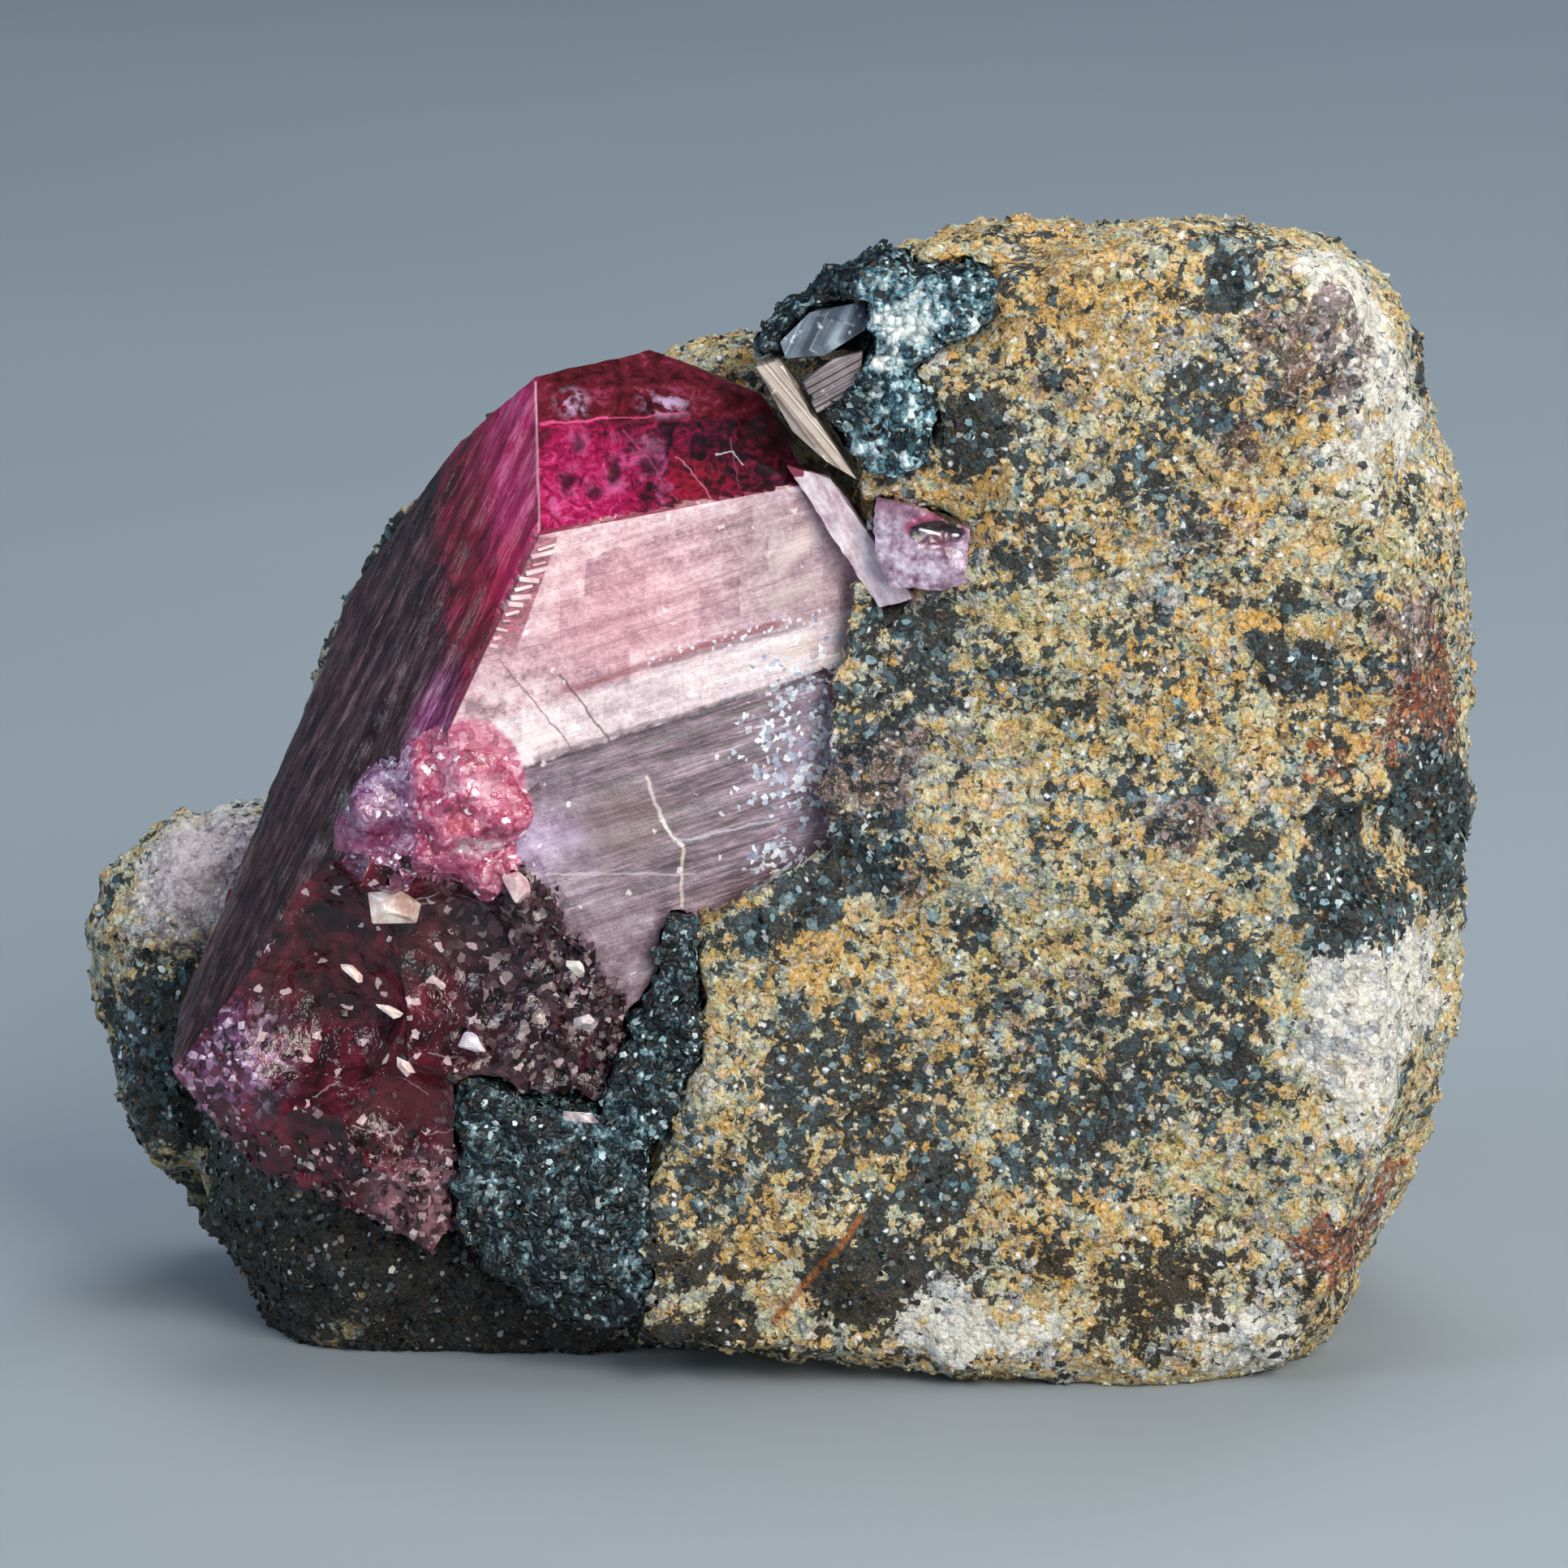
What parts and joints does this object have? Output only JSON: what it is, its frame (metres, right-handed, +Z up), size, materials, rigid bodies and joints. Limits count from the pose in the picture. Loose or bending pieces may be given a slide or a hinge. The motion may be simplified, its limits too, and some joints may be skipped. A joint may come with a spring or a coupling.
{
  "type": "ruby crystal in matrix rock",
  "caption": "Mineral specimen: a tapering ruby crystal leaning in mica-rich matrix rock, standing on its flat broken underside.",
  "frame": {"origin": "on the resting surface, below the middle of the specimen's bounding box", "axes": "+X to the right seen from the crystal's big pale face, +Y away from the viewer into the rock, +Z up"},
  "size_m": [0.0464, 0.0248, 0.0383],
  "materials": {
    "matrix": "granular, matt, with glinting mica",
    "ruby": "translucent crystal, glossy end faces, silky pale striated face",
    "pink_ruby": "cloudy mauve crystal",
    "mica_flat": "glossy cleavage faces",
    "mica_edge": "silky sheet edges",
    "mica_packed": "scaly, glittering"
  },
  "bodies": {
    "root": {"matrix_rock": "matrix", "ruby_crystal": "ruby", "small_ruby": "pink_ruby", "mica_book": "mica_flat", "mica_blade": "mica_edge", "mica_sheet": "mica_edge", "upper_mica": "mica_packed", "lower_mica": "mica_packed"}
  },
  "joints": []
}
